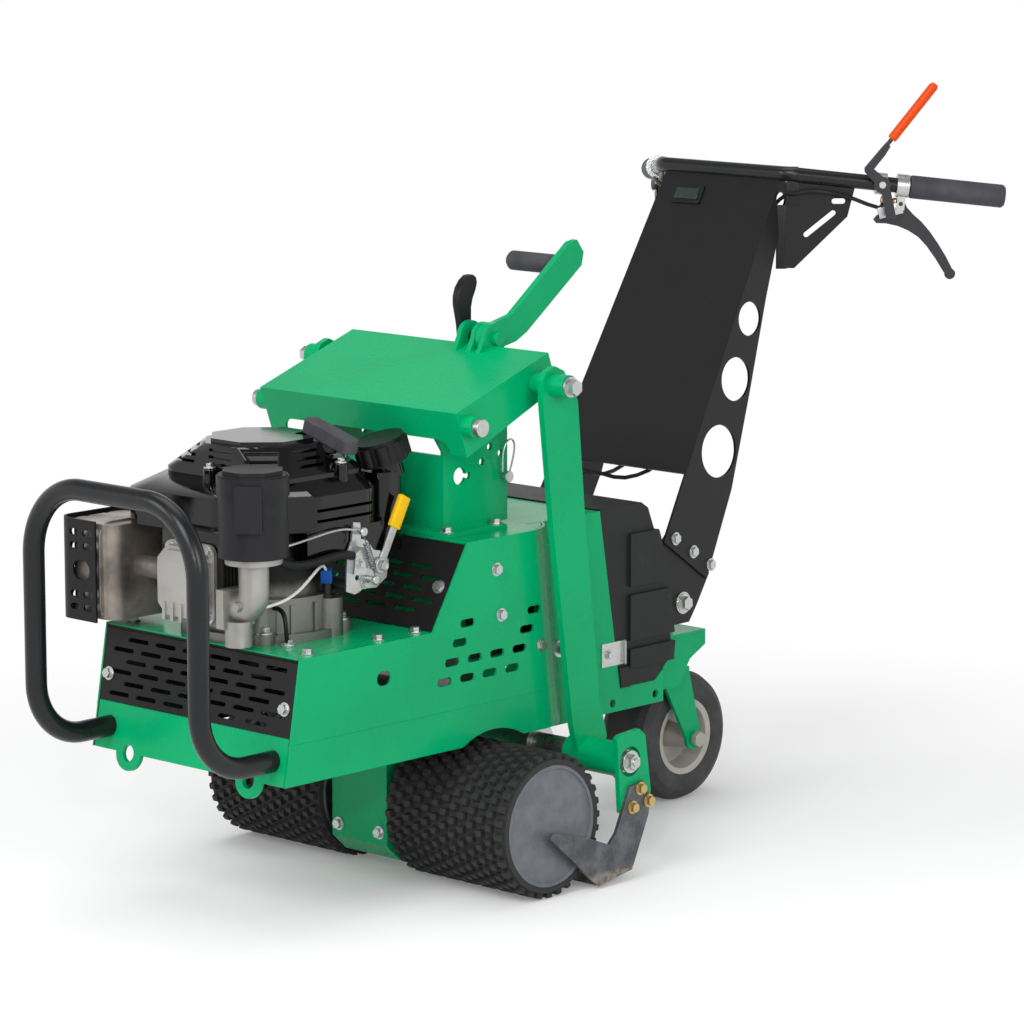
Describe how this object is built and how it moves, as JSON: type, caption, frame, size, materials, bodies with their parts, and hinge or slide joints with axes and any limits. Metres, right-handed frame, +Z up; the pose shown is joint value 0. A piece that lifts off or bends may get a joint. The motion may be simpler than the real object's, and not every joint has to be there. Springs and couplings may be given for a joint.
{
  "type": "walk-behind sod cutter",
  "caption": "Walk-behind sod cutter with a front engine, knobbed drive drums, a U-shaped oscillating blade on long arms, a rear caster and a handle console.",
  "frame": {"origin": "middle of the machine's length and width, on the ground", "axes": "+X to the operator's left, -Y forward, +Z up"},
  "size_m": [0.71, 1.4634, 1.0633],
  "materials": {
    "green_paint": "satin powder coat",
    "black_paint": "satin powder coat",
    "black_plastic": "gloss",
    "grey_plastic": "moulded satin",
    "zinc": "bright zinc plate",
    "steel": "dark oiled steel",
    "drum_paint": "grey paint",
    "casting": "bead-blasted casting",
    "exhaust_metal": "heat-dulled steel",
    "gold_zinc": "yellow zinc plate",
    "black_rubber": "matte",
    "tread_rubber": "matte",
    "orange_plastic": "satin"
  },
  "bodies": {
    "frame": {"side_panels": "green_paint", "side_skirts": "green_paint", "engine_deck": "green_paint", "front_vent": "black_paint", "tow_plate": "green_paint", "firewall_vent": "black_paint", "body_top_plate": "green_paint", "pedestal": "green_paint", "depth_pin": "zinc", "rear_side_plates": "green_paint", "caster_mount": "green_paint", "drive_case": "green_paint", "transaxle": "casting", "drive_belt": "black_rubber", "rear_shroud": "grey_plastic", "bumper": "black_paint", "console": "black_paint", "console_brackets": "black_paint", "console_isolators": "black_rubber", "hour_meter": "black_plastic", "handlebar": "black_paint", "handle_grips": "black_rubber", "handle_gussets": "black_paint", "lever_clamps": "zinc", "control_cables": "black_rubber", "engine_block": "casting", "valve_cover": "casting", "muffler": "exhaust_metal", "muffler_guard": "exhaust_metal", "blower_housing": "black_plastic", "starter_cover": "black_plastic", "fuel_tank": "black_plastic", "air_cleaner": "grey_plastic", "intake_elbow": "casting", "throttle_bracket": "zinc", "frame_bolts": "zinc"},
    "crank": {"crankshaft": "steel"},
    "input": {"input_pulley": "steel"},
    "wheels": {"drive_drums": "drum_paint", "wheel_treads": "tread_rubber"},
    "caster_swivel_fork": {"caster_fork": "green_paint"},
    "caster_wheel": {"caster_rim": "steel", "caster_tyre": "tread_rubber"},
    "head": {"hood": "green_paint", "hood_pivot": "zinc"},
    "lift": {"lift_lever": "green_paint", "lift_grip": "black_rubber"},
    "latch": {"latch_lever": "black_plastic"},
    "hangers": {"arm_pivots": "zinc"},
    "cutter": {"blade_arms": "green_paint", "blade": "steel", "blade_bolts": "gold_zinc"},
    "eccentric": {"eccentric_shaft": "zinc"},
    "drive_control": {"drive_lever": "black_paint", "drive_lever_grip": "orange_plastic"},
    "left_lever": {"left_hand_lever": "black_paint"},
    "right_lever": {"right_hand_lever": "black_paint"},
    "throttle": {"throttle_lever": "zinc"},
    "cap": {"fuel_cap": "black_plastic"},
    "starter": {"starter_grip": "black_plastic"}
  },
  "joints": [
    {"name": "axle_spin", "type": "hinge", "parent": "frame", "child": "wheels", "pos_m": [0, -0.19526, 0.1], "axis": [1, 0, 0], "continuous": true},
    {"name": "caster_swivel", "type": "hinge", "parent": "frame", "child": "caster_swivel_fork", "pos_m": [0, 0.31074, 0.24], "axis": [0, 0, 1], "continuous": true},
    {"name": "caster_spin", "type": "hinge", "parent": "caster_swivel_fork", "child": "caster_wheel", "pos_m": [0, 0.36074, 0.097], "axis": [1, 0, 0], "continuous": true},
    {"name": "crank_spin", "type": "hinge", "parent": "frame", "child": "crank", "pos_m": [0.01, -0.45726, 0.372], "axis": [0, 0, 1], "continuous": true},
    {"name": "input_spin", "type": "hinge", "parent": "frame", "child": "input", "pos_m": [0, -0.24325, 0.318], "axis": [0, 0, 1], "continuous": true},
    {"name": "depth_rocker", "type": "hinge", "parent": "frame", "child": "head", "pos_m": [0, -0.25326, 0.644], "axis": [1, 0, 0], "range_deg": [-26.4, 0]},
    {"name": "arm_hang", "type": "hinge", "parent": "head", "child": "hangers", "pos_m": [0, -0.11749, 0.6889], "axis": [1, 0, 0], "range_deg": [0, 26.4]},
    {"name": "blade_swing", "type": "hinge", "parent": "hangers", "child": "cutter", "pos_m": [0, -0.11749, 0.6889], "axis": [1, 0, 0], "range_deg": [-1, 1]},
    {"name": "eccentric_spin", "type": "hinge", "parent": "cutter", "child": "eccentric", "pos_m": [0, -0.04525, 0.166], "axis": [1, 0, 0], "continuous": true},
    {"name": "lift_lever_swing", "type": "hinge", "parent": "head", "child": "lift", "pos_m": [0, -0.08688, 0.73721], "axis": [1, 0, 0], "range_deg": [0, 79.2]},
    {"name": "latch_swing", "type": "hinge", "parent": "head", "child": "latch", "pos_m": [0, -0.08688, 0.73721], "axis": [-1, 0, 0], "range_deg": [0, 20]},
    {"name": "drive_lever_swing", "type": "hinge", "parent": "frame", "child": "drive_control", "pos_m": [0.21723, 0.59123, 0.91374], "axis": [0.7119, -0.7023, 0], "range_deg": [0, 30]},
    {"name": "left_lever_squeeze", "type": "hinge", "parent": "frame", "child": "left_lever", "pos_m": [0.2376, 0.61187, 0.88434], "axis": [0.7119, -0.7023, 0], "range_deg": [0, 24], "stiffness_Nm_per_rad": 1},
    {"name": "right_lever_squeeze", "type": "hinge", "parent": "frame", "child": "right_lever", "pos_m": [-0.2376, 0.61187, 0.88434], "axis": [0.7119, 0.7023, 0], "range_deg": [0, 24], "stiffness_Nm_per_rad": 1},
    {"name": "throttle_swing", "type": "hinge", "parent": "frame", "child": "throttle", "pos_m": [0.118, -0.35325, 0.46], "axis": [1, 0, 0], "range_deg": [-10, 40]},
    {"name": "fuel_cap_turn", "type": "hinge", "parent": "frame", "child": "cap", "pos_m": [0.086, -0.29925, 0.576], "axis": [-0.1005, -0.2756, 0.956], "range_deg": [0, 90]},
    {"name": "starter_pull", "type": "slide", "parent": "frame", "child": "starter", "axis": [0.2756, 0, 0.9613], "range_m": [0, 0.45], "stiffness_N_per_m": 5}
  ],
  "couplings": [
    {"joint": "input_spin", "follows": "crank_spin", "ratio": 0.6596},
    {"joint": "arm_hang", "follows": "depth_rocker", "ratio": -1},
    {"joint": "lift_lever_swing", "follows": "depth_rocker", "ratio": -3}
  ]
}
